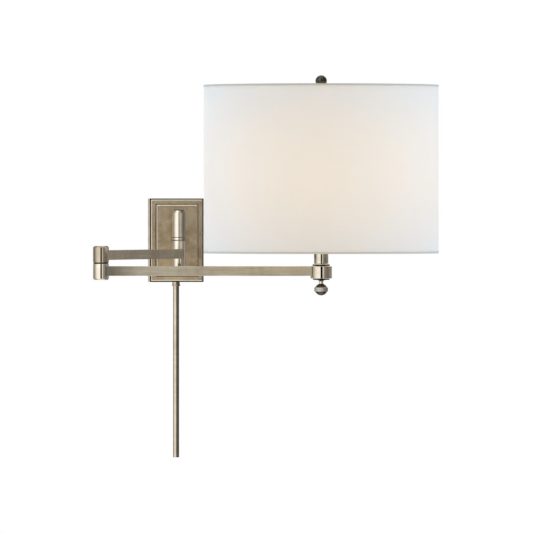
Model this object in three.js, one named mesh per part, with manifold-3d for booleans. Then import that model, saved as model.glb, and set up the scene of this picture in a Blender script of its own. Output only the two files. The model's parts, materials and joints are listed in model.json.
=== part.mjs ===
// Wall-mounted double swing-arm reading lamp: a panelled backplate with a cord-cover tube, two box-section
// arms on vertical pivots, and a drum shade over a socket whose rotary switch ends in a ball knob.
// Millimetres, +X to the right as seen from the room, +Y into the wall, +Z up. The origin is the centre of
// the backplate's back face. The wall is the plane y = 0.
import * as THREE from "three";
import { mergeVertices } from "three/addons/utils/BufferGeometryUtils.js";
import Module from "manifold-3d";

const wasm = await Module();
wasm.setup();

// ---- Driving dimensions -------------------------------------------------------------------------------

const GAP = 0.3; // clearance left between neighbouring pieces
const CUT = 1; // how far a cutting tool runs past the face it cuts
const WELD = 1e-3; // vertices closer than this are one vertex
const [SMALL, MEDIUM, LARGE] = [12, 16, 24]; // sides of a round piece or hole

const COVER = { width: 66, height: 102, depth: 21, wall: 1.6, border: 7.7, rise: 3, chamfer: 0.9 };
const MOUNTING = { width: 57, height: 92, thick: 2, tabDepth: 11, tabHeight: 16 };
const WALL_SCREW_HOLES = { radius: 2.3, spacing: 70 };
const COVER_SCREW = { radius: 1.9, length: 6, y: -7, key: 1.1, keyDepth: 1.6 };
const GROUND_SCREW = { x: 17, z: -33, radius: 1.7, hole: 2.1, headRadius: 3.4, headHeight: 2 };
const TERMINALS = { halfWidth: 14, depth: 10, top: -16, bottom: -26, pitch: 9, wireWay: 1.6, screwWell: 2 };

const PIPE = { radius: 4.8, bore: 3.2 }; // threaded lamp pipe behind the post and under the socket
const PIN = { radius: 3, bore: 1.7, wireHole: 1.5 }; // hollow pivot pins of the shoulder and the elbow
const WIRE_HOLE = 2.4; // from a hub's bore into its bar
const NUT = { acrossFlats: 15, thick: 3.6 };
const TUBE_NUT_ACROSS_FLATS = 11;
const BOSS_RADIUS = 6.8;

const TUBE = { y: -12.75, radius: 3.73, bore: 3, top: -44, bottom: -265.3 };
const COLLAR = { radius: 5.1, height: 4.7 };

const POST = { y: -40, radius: 8, top: 37, pipeHeight: 20, chamfer: [1.9, 3.8] };
const SHOULDER = { ringHeight: 3.4, hubBottom: -32, capBottom: -35, chamfer: 1 };
const ELBOW = { radius: 9.5, top: -5.6, seam: -26, bottom: -46, chamfer: 1.4, seamChamfer: 0.5 };
const WASHER_RADIUS = 9;
const CAP = { radius: 6.4, thick: 2.4 };

const ARM = { length: 262, width: 15, height: 11.5, wall: 1.5 };
const ARM_1_Z = -16.5; // mid-height of the upper arm
const ARM_2_Z = -35.4; // mid-height of the lower arm
const ARM_1_ANGLE = -118.15; // degrees from +X at rest
const ARM_2_ANGLE = -8;

const HUB = { radius: 12.75, top: -29.6, bottom: -44.1, cavity: 8.6, roof: 3.4, edge: 0.6 };
const STEM = { radius: 8.5, flangeRadius: 10.25, flangeHeight: 2.3, top: -6 };
const LOWER_FLANGE = { radius: 10, height: 1.6 };
const KNOB = { radius: 7.55, halfHeight: 7.1, beltRadius: 8.15, beltHeight: 5, centre: -57.3, neck: 2.5 };
const SHAFT = { radius: 1.8, tip: -60 };

const SADDLE = { halfWidth: 26, depth: 12, thick: 1.5, tabWidth: 4.6, tabTop: 6.5 };
const SOCKET = { radius: 16.8, wall: 0.9, cupHeight: 12, cupFoot: 5, cupCurve: 7, cupFloor: 2, top: 50 };
const LINER = { thick: 1.2, floor: 2.5, bore: 3 };
const BULB = { baseRadius: 13.2, baseBottom: 20, baseTop: 47, radius: 30, top: 130, glass: 1.1, neck: 13.6 };
const THREAD = { start: 5, pitch: 3.6, depth: 0.8, turns: 5 };
const CONTACT = { radius: 4, height: 1, seatRadius: 9 };
const HARP = { wire: 1.75, halfWidth: 56, foot: 7, crown: 173, steps: 28 };
const SLEEVE = { radius: 3.9, bore: 2.9, bottom: 1, top: 14 };

const SHADE = { radius: 140, thick: 1.1, bottom: -14.3, height: 200.3, segments: 48 };
const RING = { wire: 1.4, inset: 2 };
const SPIDER = { hubRadius: 12.5, hubZ: 178, hubThick: 1.5, wire: 1.5, spokes: 3 };
const STUD = { radius: 3.1, bossRadius: 5, top: 188 };
const FINIAL = { ballRadius: 6.9, ballZ: 190.5, neck: 4.4, baseRadius: 5.8, baseHeight: 1.8 };

const SHADE_TOP = SHADE.bottom + SHADE.height;
const PANEL_Y = -COVER.depth - COVER.rise;

// ---- Materials ----------------------------------------------------------------------------------------

function standard(color, roughness, metalness) {
  return new THREE.MeshStandardMaterial({ color, roughness, metalness });
}

const nickel = standard(0x9a8b73, 0.34, 1);
const darkNickel = standard(0x5d564b, 0.3, 1);
const steel = standard(0xb4b6b8, 0.4, 1);
const brass = standard(0xc3a25c, 0.35, 1);
const linen = standard(0xf1eee6, 0.95, 0);
const porcelain = standard(0xeeece4, 0.35, 0);
const blackPlastic = standard(0x1c1c1d, 0.5, 0);
const frosted = standard(0xfbf7ee, 0.55, 0);

// ---- Geometry helpers ---------------------------------------------------------------------------------

// A closed geometry as a manifold solid, for cutting and joining.
function solidOf(geometry) {
  const loose = geometry.index ? geometry.toNonIndexed() : geometry.clone();
  loose.deleteAttribute("normal");
  loose.deleteAttribute("uv");
  const merged = mergeVertices(loose, WELD);
  const triangles = [];
  for (let i = 0; i < merged.index.count; i += 3) {
    const [a, b, c] = [0, 1, 2].map((corner) => merged.index.getX(i + corner));
    if (a !== b && b !== c && c !== a) triangles.push(a, b, c);
  }
  return new wasm.Manifold(
    new wasm.Mesh({
      numProp: 3,
      vertProperties: merged.attributes.position.array,
      triVerts: new Uint32Array(triangles),
    }),
  );
}

function geometryOf(solid) {
  const { vertProperties, triVerts } = solid.getMesh();
  const geometry = new THREE.BufferGeometry();
  geometry.setAttribute("position", new THREE.BufferAttribute(vertProperties, 3));
  geometry.setIndex(new THREE.BufferAttribute(triVerts, 1));
  geometry.computeVertexNormals();
  return geometry;
}

function cut(geometry, ...tools) {
  const left = tools.reduce((solid, tool) => solid.subtract(solidOf(tool)), solidOf(geometry));
  return geometryOf(left);
}

function join(geometry, ...others) {
  const whole = others.reduce((solid, other) => solid.add(solidOf(other)), solidOf(geometry));
  return geometryOf(whole);
}

// A profile of [radius, height] points, turned about Z. It runs anticlockwise, outer wall upwards.
function turned(profile, segments) {
  const points = profile.map(([radius, height]) => new THREE.Vector2(radius, height));
  return new THREE.LatheGeometry(points, segments).rotateX(Math.PI / 2);
}

function rod(radius, bottom, top, segments) {
  return turned([[0, bottom], [radius, bottom], [radius, top], [0, top]], segments);
}

function sleeve(radius, bore, bottom, top, segments) {
  const profile = [[bore, bottom], [radius, bottom], [radius, top], [bore, top], [bore, bottom]];
  return turned(profile, segments);
}

// Turns a piece built along Z so that its +Z points to -Y, out of the wall.
function outOfWall(geometry) {
  return geometry.rotateX(Math.PI / 2);
}

// Turns a piece built along Z so that it lies along +X.
function alongX(geometry) {
  return geometry.rotateY(Math.PI / 2);
}

function block([x0, x1], [y0, y1], [z0, z1]) {
  const box = new THREE.BoxGeometry(x1 - x0, y1 - y0, z1 - z0);
  return box.translate((x0 + x1) / 2, (y0 + y1) / 2, (z0 + z1) / 2);
}

function polygon(radius, sides) {
  const corners = [];
  for (let i = 0; i < sides; i += 1) {
    const angle = ((i + 0.5) * 2 * Math.PI) / sides;
    corners.push(new THREE.Vector2(radius * Math.cos(angle), radius * Math.sin(angle)));
  }
  return new THREE.Shape(corners);
}

function rectangle(width, height) {
  const [x, y] = [width / 2, height / 2];
  const corners = [[-x, -y], [x, -y], [x, y], [-x, y]];
  return new THREE.Shape(corners.map(([u, v]) => new THREE.Vector2(u, v)));
}

// Points on an elliptical arc in the [radius, height] plane, angles in degrees from the radius axis.
function arc(height, radiusAcross, radiusUp, from, to, steps) {
  const points = [];
  for (let i = 0; i <= steps; i += 1) {
    const angle = THREE.MathUtils.degToRad(from + ((to - from) * i) / steps);
    points.push([radiusAcross * Math.cos(angle), height + radiusUp * Math.sin(angle)]);
  }
  return points;
}

// A round wire along a smooth curve through the points.
function wire(points, radius, steps, sides = 6) {
  const curve = new THREE.CatmullRomCurve3(points.map((point) => new THREE.Vector3(...point)));
  return new THREE.ExtrudeGeometry(polygon(radius, sides), { extrudePath: curve, steps });
}

function hexNut(acrossFlats, bore, bottom, top) {
  const outline = polygon(acrossFlats / 2 / Math.cos(Math.PI / 6), 6);
  const body = new THREE.ExtrudeGeometry(outline, { depth: top - bottom, bevelEnabled: false });
  return cut(body.translate(0, 0, bottom), rod(bore, bottom - CUT, top + CUT, MEDIUM));
}

function add(group, name, geometry, material) {
  const mesh = new THREE.Mesh(geometry, material);
  mesh.name = name;
  group.add(mesh);
}

// ---- Wall mount ---------------------------------------------------------------------------------------

// A block against the wall plane whose front edges are chamfered.
function chamferedBlock(width, height, depth, chamfer) {
  const body = new THREE.ExtrudeGeometry(rectangle(width - 2 * chamfer, height - 2 * chamfer), {
    depth,
    bevelSize: chamfer,
    bevelThickness: chamfer,
    bevelSegments: 1,
  });
  const slab = outOfWall(body).translate(0, chamfer, 0);
  return cut(slab, block([-width, width], [0, 3 * chamfer], [-height, height]));
}

function backplateCover() {
  const { width, height, depth, wall, border, rise, chamfer } = COVER;
  const panelWidth = width - 2 * border;
  const panelHeight = height - 2 * border;
  const shell = join(
    chamferedBlock(width, height, depth, chamfer),
    chamferedBlock(panelWidth, panelHeight, depth + rise, chamfer),
  );
  const inner = [width / 2 - wall, height / 2 - wall];
  const innerPanel = [panelWidth / 2 - wall, panelHeight / 2 - wall];
  const cavity = block([-inner[0], inner[0]], [-depth + wall, CUT], [-inner[1], inner[1]]);
  const panelPocket = block(
    [-innerPanel[0], innerPanel[0]],
    [PANEL_Y + wall, -depth + 2 * wall],
    [-innerPanel[1], innerPanel[1]],
  );
  const pipeHole = outOfWall(rod(PIPE.radius + GAP, depth - 2 * wall, depth + rise + CUT, MEDIUM));
  const tubeHole = rod(TUBE.radius + GAP, -height / 2 - CUT, -height / 2 + 2 * wall, MEDIUM);
  const screwHole = alongX(rod(COVER_SCREW.radius + GAP, -width / 2 - CUT, width / 2 + CUT, SMALL));
  return cut(
    shell,
    cavity,
    panelPocket,
    pipeHole.translate(0, 0, POST.pipeHeight),
    tubeHole.translate(0, TUBE.y, 0),
    screwHole.translate(0, COVER_SCREW.y, 0),
  );
}

function mountingPlate() {
  const { width, height, thick, tabDepth, tabHeight } = MOUNTING;
  const { radius, spacing } = WALL_SCREW_HOLES;
  const plate = block([-width / 2, width / 2], [-thick, 0], [-height / 2, height / 2]);
  const tabs = [-1, 1].map((side) => {
    const [near, far] = [side * (width / 2), side * (width / 2 - thick)];
    return block([Math.min(near, far), Math.max(near, far)], [-tabDepth, 0], [-tabHeight / 2, tabHeight / 2]);
  });
  const wallScrewHoles = [-1, 1].map((side) =>
    outOfWall(rod(radius, -CUT, thick + CUT, MEDIUM)).translate(0, 0, (side * spacing) / 2),
  );
  const groundHole = outOfWall(rod(GROUND_SCREW.hole, -CUT, thick + CUT, SMALL));
  const tabHoles = alongX(rod(COVER_SCREW.radius + GAP, -width, width, SMALL));
  return cut(
    join(plate, ...tabs),
    ...wallScrewHoles,
    groundHole.translate(GROUND_SCREW.x, 0, GROUND_SCREW.z),
    tabHoles.translate(0, COVER_SCREW.y, 0),
  );
}

// A flush socket-headed screw through the cover's side into the mounting plate's tab.
function coverScrew(side) {
  const { radius, length, y, key, keyDepth } = COVER_SCREW;
  const outer = COVER.width / 2;
  const shank = rod(radius, outer - length, outer, SMALL);
  const hexKey = new THREE.ExtrudeGeometry(polygon(key, 6), { depth: keyDepth + CUT, bevelEnabled: false });
  const screw = alongX(cut(shank, hexKey.translate(0, 0, outer - keyDepth)));
  if (side < 0) screw.rotateZ(Math.PI);
  return screw.translate(0, y, 0);
}

function groundScrew() {
  const { x, z, radius, headRadius, headHeight } = GROUND_SCREW;
  const seat = MOUNTING.thick + GAP;
  const face = seat + headHeight;
  const profile = [
    [0, GAP],
    [radius, GAP],
    [radius, seat],
    [headRadius, seat],
    [headRadius, face - 0.8],
    [headRadius - 1.2, face],
    [0, face],
  ];
  const slot = block([-headRadius - CUT, headRadius + CUT], [-face - CUT, -face + 0.9], [-0.4, 0.4]);
  return cut(outOfWall(turned(profile, MEDIUM)), slot).translate(x, 0, z);
}

// A ceramic block that joins the supply to the lamp's wiring, with three wire ways and their screw wells.
function terminalBlock() {
  const { halfWidth, depth, top, bottom, pitch, wireWay, screwWell } = TERMINALS;
  const back = -MOUNTING.thick - GAP;
  const body = block([-halfWidth, halfWidth], [back - depth, back], [bottom, top]);
  const wireWays = [-pitch, 0, pitch].map((x) =>
    rod(wireWay, bottom - CUT, top + CUT, SMALL).translate(x, back - 0.65 * depth, 0),
  );
  const screwWells = [-pitch, 0, pitch].map((x) =>
    outOfWall(rod(screwWell, 0.6 * depth, depth + CUT, SMALL)).translate(x, back, (top + bottom) / 2),
  );
  return cut(body, ...wireWays, ...screwWells);
}

// Threaded pipe from the mounting plate through the cover into the post.
function postPipe() {
  const innerEnd = MOUNTING.thick + GAP;
  const outerEnd = -POST.y - PIN.bore;
  const pipe = outOfWall(sleeve(PIPE.radius, PIPE.bore, innerEnd, outerEnd, MEDIUM));
  return pipe.translate(0, 0, POST.pipeHeight);
}

function pipeNut() {
  const front = -PANEL_Y - COVER.wall - GAP;
  const nut = hexNut(NUT.acrossFlats, PIPE.radius + GAP, front - NUT.thick, front);
  return outOfWall(nut).translate(0, 0, POST.pipeHeight);
}

// Short round spacer between the raised panel and the post, hollowed to the post's curve.
function postBoss() {
  const boss = outOfWall(sleeve(BOSS_RADIUS, PIPE.radius + GAP, -PANEL_Y + GAP, -POST.y, LARGE));
  const curve = rod(POST.radius + GAP, -20, 20, LARGE).translate(0, POST.y, 0);
  return cut(boss.translate(0, 0, POST.pipeHeight), curve.translate(0, 0, POST.pipeHeight));
}

function shoulderPost() {
  const { radius, top, chamfer, pipeHeight } = POST;
  const bottom = SHOULDER.ringHeight + 1.5 * GAP;
  const bore = PIN.radius + GAP;
  const boreTop = pipeHeight + PIPE.radius;
  const profile = [
    [bore, bottom],
    [radius, bottom],
    [radius, top - chamfer[1]],
    [radius - chamfer[0], top],
    [0, top],
    [0, boreTop],
    [bore, boreTop],
    [bore, bottom],
  ];
  const pipeHole = outOfWall(rod(PIPE.radius + GAP, -radius - CUT, 0, MEDIUM));
  return cut(turned(profile, LARGE), pipeHole.translate(0, 0, pipeHeight)).translate(0, POST.y, 0);
}

function shoulderRing() {
  const ring = sleeve(POST.radius, PIN.radius + GAP, GAP / 2, GAP / 2 + SHOULDER.ringHeight, LARGE);
  return ring.translate(0, POST.y, 0);
}

function tubeNut() {
  const floor = -COVER.height / 2 + COVER.wall + GAP;
  return hexNut(TUBE_NUT_ACROSS_FLATS, TUBE.radius + GAP, floor, floor + NUT.thick).translate(0, TUBE.y, 0);
}

function cordCollar() {
  const top = -COVER.height / 2 - GAP;
  return sleeve(COLLAR.radius, TUBE.radius + GAP, top - COLLAR.height, top, LARGE).translate(0, TUBE.y, 0);
}

function cordCoverTube() {
  return sleeve(TUBE.radius, TUBE.bore, TUBE.bottom, TUBE.top, MEDIUM).translate(0, TUBE.y, 0);
}

function wallMount() {
  const group = new THREE.Group();
  add(group, "mounting_plate", mountingPlate(), steel);
  add(group, "backplate_cover", backplateCover(), nickel);
  add(group, "cover_screw_left", coverScrew(-1), nickel);
  add(group, "cover_screw_right", coverScrew(1), nickel);
  add(group, "ground_screw", groundScrew(), steel);
  add(group, "terminal_block", terminalBlock(), porcelain);
  add(group, "post_pipe", postPipe(), steel);
  add(group, "pipe_nut", pipeNut(), steel);
  add(group, "post_boss", postBoss(), nickel);
  add(group, "shoulder_post", shoulderPost(), nickel);
  add(group, "shoulder_ring", shoulderRing(), nickel);
  add(group, "tube_nut", tubeNut(), brass);
  add(group, "cord_collar", cordCollar(), nickel);
  add(group, "cord_cover_tube", cordCoverTube(), nickel);
  return group;
}

// ---- Arms ---------------------------------------------------------------------------------------------

// A box-section bar along +X, its ends hollowed to the round hubs that it meets.
function armBar(height, nearHub, farHub) {
  const { length, width, wall } = ARM;
  const section = rectangle(width, ARM.height);
  section.holes.push(rectangle(width - 2 * wall, ARM.height - 2 * wall));
  const bar = new THREE.ExtrudeGeometry(section, { depth: length, bevelEnabled: false });
  const lie = new THREE.Matrix4().makeBasis(
    new THREE.Vector3(0, 1, 0),
    new THREE.Vector3(0, 0, 1),
    new THREE.Vector3(1, 0, 0),
  );
  bar.applyMatrix4(lie);
  const hubs = [
    rod(nearHub + GAP, -ARM.height, ARM.height, LARGE),
    rod(farHub + GAP, -ARM.height, ARM.height, LARGE).translate(length, 0, 0),
    block([-width, nearHub / 2], [-width, width], [-width, width]),
    block([length - farHub / 2, length + width], [-width, width], [-width, width]),
  ];
  return cut(bar, ...hubs).translate(0, 0, height);
}

// A wire hole from a hub's bore out to the bar, in the direction of side (+1 or -1) along X.
function wireHole(radius, reach, side, height) {
  const hole = alongX(rod(radius, 0, reach, SMALL));
  if (side < 0) hole.rotateZ(Math.PI);
  return hole.translate(0, 0, height);
}

function shoulderHub() {
  const hub = sleeve(POST.radius, PIN.radius + GAP, SHOULDER.hubBottom, -GAP / 2, LARGE);
  return cut(hub, wireHole(WIRE_HOLE, POST.radius + CUT, 1, ARM_1_Z));
}

function shoulderPin() {
  const top = POST.pipeHeight - PIPE.radius - 2 * GAP;
  const pin = sleeve(PIN.radius, PIN.bore, SHOULDER.hubBottom + GAP, top, SMALL);
  return cut(pin, wireHole(PIN.wireHole, PIN.radius + CUT, 1, ARM_1_Z));
}

function shoulderBottomCap() {
  const top = SHOULDER.hubBottom - GAP;
  const { radius } = POST;
  const { capBottom, chamfer } = SHOULDER;
  return turned(
    [[0, capBottom], [radius - chamfer, capBottom], [radius, capBottom + chamfer], [radius, top], [0, top]],
    LARGE,
  );
}

// One half of the elbow: a round hub with a wide chamfer at its outer end and a narrow one at the seam.
function elbowHub(outerEnd, seamEnd, barSide, barHeight) {
  const { radius, chamfer, seamChamfer } = ELBOW;
  const up = Math.sign(outerEnd - seamEnd);
  const bore = PIN.radius + GAP;
  const capBore = CAP.radius + GAP;
  const capSeat = outerEnd - up * (CAP.thick + GAP);
  const profile = [
    [bore, seamEnd],
    [radius - seamChamfer, seamEnd],
    [radius, seamEnd + up * seamChamfer],
    [radius, outerEnd - up * chamfer],
    [radius - chamfer, outerEnd],
    [capBore, outerEnd],
    [capBore, capSeat],
    [bore, capSeat],
    [bore, seamEnd],
  ];
  if (up < 0) profile.reverse();
  return cut(turned(profile, LARGE), wireHole(WIRE_HOLE, radius + CUT, barSide, barHeight));
}

// A flush round cap in the elbow hub's outer end.
function elbowCap(outerEnd, up) {
  const faces = [outerEnd, outerEnd - up * CAP.thick].sort((a, b) => a - b);
  return rod(CAP.radius, ...faces, LARGE);
}

function elbowPin() {
  const { top, bottom } = ELBOW;
  const end = CAP.thick + 2 * GAP;
  const pin = sleeve(PIN.radius, PIN.bore, bottom + end, top - end, SMALL);
  return cut(
    pin,
    wireHole(PIN.wireHole, PIN.radius + CUT, -1, ARM_1_Z),
    wireHole(PIN.wireHole, PIN.radius + CUT, 1, ARM_2_Z),
  );
}

function elbowWasher() {
  return sleeve(WASHER_RADIUS, PIN.radius + GAP, ELBOW.seam - GAP, ELBOW.seam + GAP, LARGE);
}

function armOne() {
  const group = new THREE.Group();
  group.position.set(0, POST.y, 0);
  group.rotation.z = THREE.MathUtils.degToRad(ARM_1_ANGLE);
  add(group, "shoulder_hub", shoulderHub(), nickel);
  add(group, "shoulder_pin", shoulderPin(), steel);
  add(group, "shoulder_bottom_cap", shoulderBottomCap(), nickel);
  add(group, "arm_1_bar", armBar(ARM_1_Z, POST.radius, ELBOW.radius), nickel);

  const elbow = new THREE.Group();
  elbow.position.x = ARM.length;
  add(elbow, "elbow_upper_hub", elbowHub(ELBOW.top, ELBOW.seam + 2 * GAP, -1, ARM_1_Z), nickel);
  add(elbow, "elbow_top_cap", elbowCap(ELBOW.top, 1), nickel);
  add(elbow, "elbow_pin", elbowPin(), steel);
  group.add(elbow);
  return { group, elbow };
}

function armTwo() {
  const group = new THREE.Group();
  group.rotation.z = THREE.MathUtils.degToRad(ARM_2_ANGLE - ARM_1_ANGLE);
  add(group, "elbow_washer", elbowWasher(), brass);
  add(group, "elbow_lower_hub", elbowHub(ELBOW.bottom, ELBOW.seam - 2 * GAP, 1, ARM_2_Z), nickel);
  add(group, "elbow_bottom_cap", elbowCap(ELBOW.bottom, -1), nickel);
  add(group, "arm_2_bar", armBar(ARM_2_Z, ELBOW.radius, HUB.radius), nickel);
  return group;
}

// ---- Lamp head ----------------------------------------------------------------------------------------

// The hub at the arm's end: hollow below for the switch, with a threaded roof for the pipe.
function headHub() {
  const { radius, top, bottom, cavity, roof, edge } = HUB;
  const bore = PIPE.radius + GAP;
  const profile = [
    [cavity, bottom],
    [radius - edge, bottom],
    [radius, bottom + edge],
    [radius, top - edge],
    [radius - edge, top],
    [bore, top],
    [bore, top - roof],
    [cavity, top - roof],
    [cavity, bottom],
  ];
  return cut(turned(profile, LARGE), wireHole(WIRE_HOLE, radius + CUT, -1, ARM_2_Z));
}

function switchBody() {
  return rod(HUB.cavity - GAP, HUB.bottom + 1, HUB.top - HUB.roof - 1, LARGE);
}

function lowerFlange() {
  const top = HUB.bottom - GAP;
  return sleeve(LOWER_FLANGE.radius, SHAFT.radius + 2 * GAP, top - LOWER_FLANGE.height, top, LARGE);
}

function stemFlange() {
  const bottom = HUB.top + GAP;
  return sleeve(STEM.flangeRadius, PIPE.radius + GAP, bottom, bottom + STEM.flangeHeight, LARGE);
}

function socketStem() {
  const bottom = HUB.top + STEM.flangeHeight + 2 * GAP;
  return sleeve(STEM.radius, PIPE.radius + GAP, bottom, STEM.top, LARGE);
}

function socketPipe() {
  return sleeve(PIPE.radius, PIPE.bore, HUB.top - HUB.roof + GAP, STEM.top + 6, MEDIUM);
}

// A strip across the stem whose ends turn up into narrow tabs for the harp.
function harpSaddle() {
  const { halfWidth, depth, thick, tabWidth, tabTop } = SADDLE;
  const bottom = STEM.top + GAP;
  const strip = block([-halfWidth, halfWidth], [-depth / 2, depth / 2], [bottom, bottom + thick]);
  const tabs = [-1, 1].map((side) => {
    const [near, far] = [side * halfWidth, side * (halfWidth - thick)];
    return block([Math.min(near, far), Math.max(near, far)], [-tabWidth / 2, tabWidth / 2], [bottom, tabTop]);
  });
  return cut(join(strip, ...tabs), rod(PIPE.radius + GAP, bottom - CUT, bottom + thick + CUT, MEDIUM));
}

function socketCup() {
  const { radius, wall, cupHeight, cupFoot, cupCurve, cupFloor } = SOCKET;
  const bottom = STEM.top + 2 * GAP + SADDLE.thick;
  const top = bottom + cupHeight;
  const bore = PIPE.radius + GAP;
  return turned(
    [
      [bore, bottom],
      [radius - cupFoot, bottom],
      [radius - 0.3 * cupFoot, bottom + 0.35 * cupCurve],
      [radius, bottom + cupCurve],
      [radius, top],
      [radius - wall, top],
      [radius - wall, bottom + cupCurve],
      [radius - cupFoot, bottom + cupFloor],
      [bore, bottom + cupFloor],
      [bore, bottom],
    ],
    LARGE,
  );
}

function socketShell() {
  const bottom = STEM.top + 3 * GAP + SADDLE.thick + SOCKET.cupHeight;
  return sleeve(SOCKET.radius, SOCKET.radius - SOCKET.wall, bottom, SOCKET.top, LARGE);
}

// Insulating liner inside the shell, closed below by a floor with a wire hole.
function socketLiner() {
  const { thick, floor, bore } = LINER;
  const outer = SOCKET.radius - SOCKET.wall - GAP;
  const inner = outer - thick;
  const floorTop = BULB.baseBottom - 1.5;
  const bottom = floorTop - floor;
  const top = SOCKET.top - 1;
  return turned(
    [
      [bore, bottom],
      [outer, bottom],
      [outer, top],
      [inner, top],
      [inner, floorTop],
      [bore, floorTop],
      [bore, bottom],
    ],
    LARGE,
  );
}

// Screw base of the bulb, with rounded threads and a contact button.
function bulbBase() {
  const { baseRadius, baseBottom, baseTop } = BULB;
  const { start, pitch, depth, turns } = THREAD;
  const { radius, height, seatRadius } = CONTACT;
  const root = baseRadius - depth;
  const threadStart = baseBottom + start;
  const profile = [
    [0, baseBottom],
    [radius, baseBottom],
    [radius, baseBottom + height],
    [seatRadius, threadStart - height],
  ];
  for (let turn = 0; turn < turns; turn += 1) {
    profile.push([root, threadStart + turn * pitch]);
    profile.push([baseRadius, threadStart + (turn + 0.5) * pitch]);
  }
  profile.push([root, threadStart + turns * pitch]);
  profile.push([root, baseTop]);
  profile.push([0, baseTop]);
  return turned(profile, MEDIUM);
}

// Hollow pear-shaped glass, open at the neck where it meets the base.
function bulbGlass() {
  const { baseTop, radius, top, glass, neck } = BULB;
  const bottom = baseTop + GAP;
  const centre = top - radius;
  const outer = [[neck - 0.4, bottom], [neck, bottom + 8], [neck + 4.5, bottom + 22]];
  const crown = arc(centre, radius, radius, -28, 90, 6);
  const innerCrown = arc(centre, radius - glass, radius - glass, -28, 90, 6).reverse();
  const inner = outer.map(([r, z]) => [r - glass, z]).reverse();
  crown[crown.length - 1][0] = 0;
  innerCrown[0][0] = 0;
  return turned([...outer, ...crown, ...innerCrown, ...inner, outer[0]], LARGE);
}

function harp() {
  const { wire: radius, halfWidth, foot, crown, steps } = HARP;
  const footX = SADDLE.halfWidth - SADDLE.thick / 2;
  const side = [
    [footX, foot],
    [footX, foot + 9],
    [halfWidth - 8, 52],
    [halfWidth, 92],
    [halfWidth - 8, 132],
    [halfWidth - 30, 162],
  ];
  const right = side.map(([x, z]) => [x, 0, z]);
  const left = side.map(([x, z]) => [-x, 0, z]).reverse();
  return wire([...right, [0, 0, crown - radius], ...left], radius, steps);
}

function harpSleeve(side) {
  const { radius, bore, bottom, top } = SLEEVE;
  const reach = SADDLE.halfWidth - SADDLE.thick / 2;
  return sleeve(radius, bore, bottom, top, SMALL).translate(side * reach, 0, 0);
}

// Threaded stud on the harp's crown, which the spider sits on and the finial screws onto.
function harpStud() {
  const bottom = HARP.crown + GAP;
  const shoulder = SPIDER.hubZ - GAP;
  const { radius, bossRadius, top } = STUD;
  return turned(
    [[0, bottom], [bossRadius, bottom], [bossRadius, shoulder], [radius, shoulder], [radius, top], [0, top]],
    MEDIUM,
  );
}

const RING_RADIUS = SHADE.radius - SHADE.thick - GAP - RING.wire;

function shadeRing(height) {
  return new THREE.TorusGeometry(RING_RADIUS, RING.wire, 6, SHADE.segments).translate(0, 0, height);
}

function shadeDrum() {
  return sleeve(SHADE.radius, SHADE.radius - SHADE.thick, SHADE.bottom, SHADE_TOP, SHADE.segments);
}

// A washer on the stud with wire spokes that run out level and turn up to the shade's top ring.
function shadeSpider() {
  const { hubRadius, hubZ, hubThick, wire: radius, spokes } = SPIDER;
  const hub = sleeve(hubRadius, STUD.radius + GAP, hubZ, hubZ + hubThick, LARGE);
  const level = hubZ + hubThick / 2;
  const rimZ = SHADE_TOP - RING.inset;
  const reach = RING_RADIUS - RING.wire - GAP;
  const arms = [];
  for (let i = 0; i < spokes; i += 1) {
    const route = [
      [hubRadius - 3, 0, level],
      [reach - 34, 0, level],
      [reach - 12, 0, level + 1],
      [reach, 0, rimZ],
    ];
    const angle = Math.PI / 2 + (i * 2 * Math.PI) / spokes;
    arms.push(wire(route, radius, 7, 6).rotateZ(angle));
  }
  return join(hub, ...arms);
}

function finial() {
  const { ballRadius, ballZ, neck, baseRadius, baseHeight } = FINIAL;
  const bottom = SPIDER.hubZ + SPIDER.hubThick + GAP;
  const bore = STUD.radius + GAP;
  const startAngle = -50;
  return turned(
    [
      [bore, bottom],
      [baseRadius, bottom],
      [baseRadius, bottom + baseHeight],
      [neck, bottom + baseHeight + 1],
      ...arc(ballZ, ballRadius, ballRadius, startAngle, 90, 8),
      [0, STUD.top + GAP],
      [bore, STUD.top + GAP],
      [bore, bottom],
    ],
    LARGE,
  );
}

// Ball knob with a raised belt and a tapered neck, bored for the switch's shaft.
function knobBall() {
  const { radius, halfHeight, beltRadius, beltHeight, centre, neck } = KNOB;
  const top = HUB.bottom - LOWER_FLANGE.height - 2 * GAP;
  const bore = SHAFT.radius + GAP;
  const beltAngle = THREE.MathUtils.radToDeg(Math.asin(beltHeight / 2 / halfHeight));
  const neckAngle = 70;
  return turned(
    [
      ...arc(centre, radius, halfHeight, -90, -beltAngle, 5),
      [beltRadius, centre - beltHeight / 2],
      [beltRadius, centre + beltHeight / 2],
      ...arc(centre, radius, halfHeight, beltAngle, neckAngle, 4),
      [neck + 0.5, top],
      [bore, top],
      [bore, SHAFT.tip - GAP],
      [0, SHAFT.tip - GAP],
    ],
    LARGE,
  );
}

function knobShaft() {
  return rod(SHAFT.radius, SHAFT.tip, HUB.bottom + 1 - GAP, SMALL);
}

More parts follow.
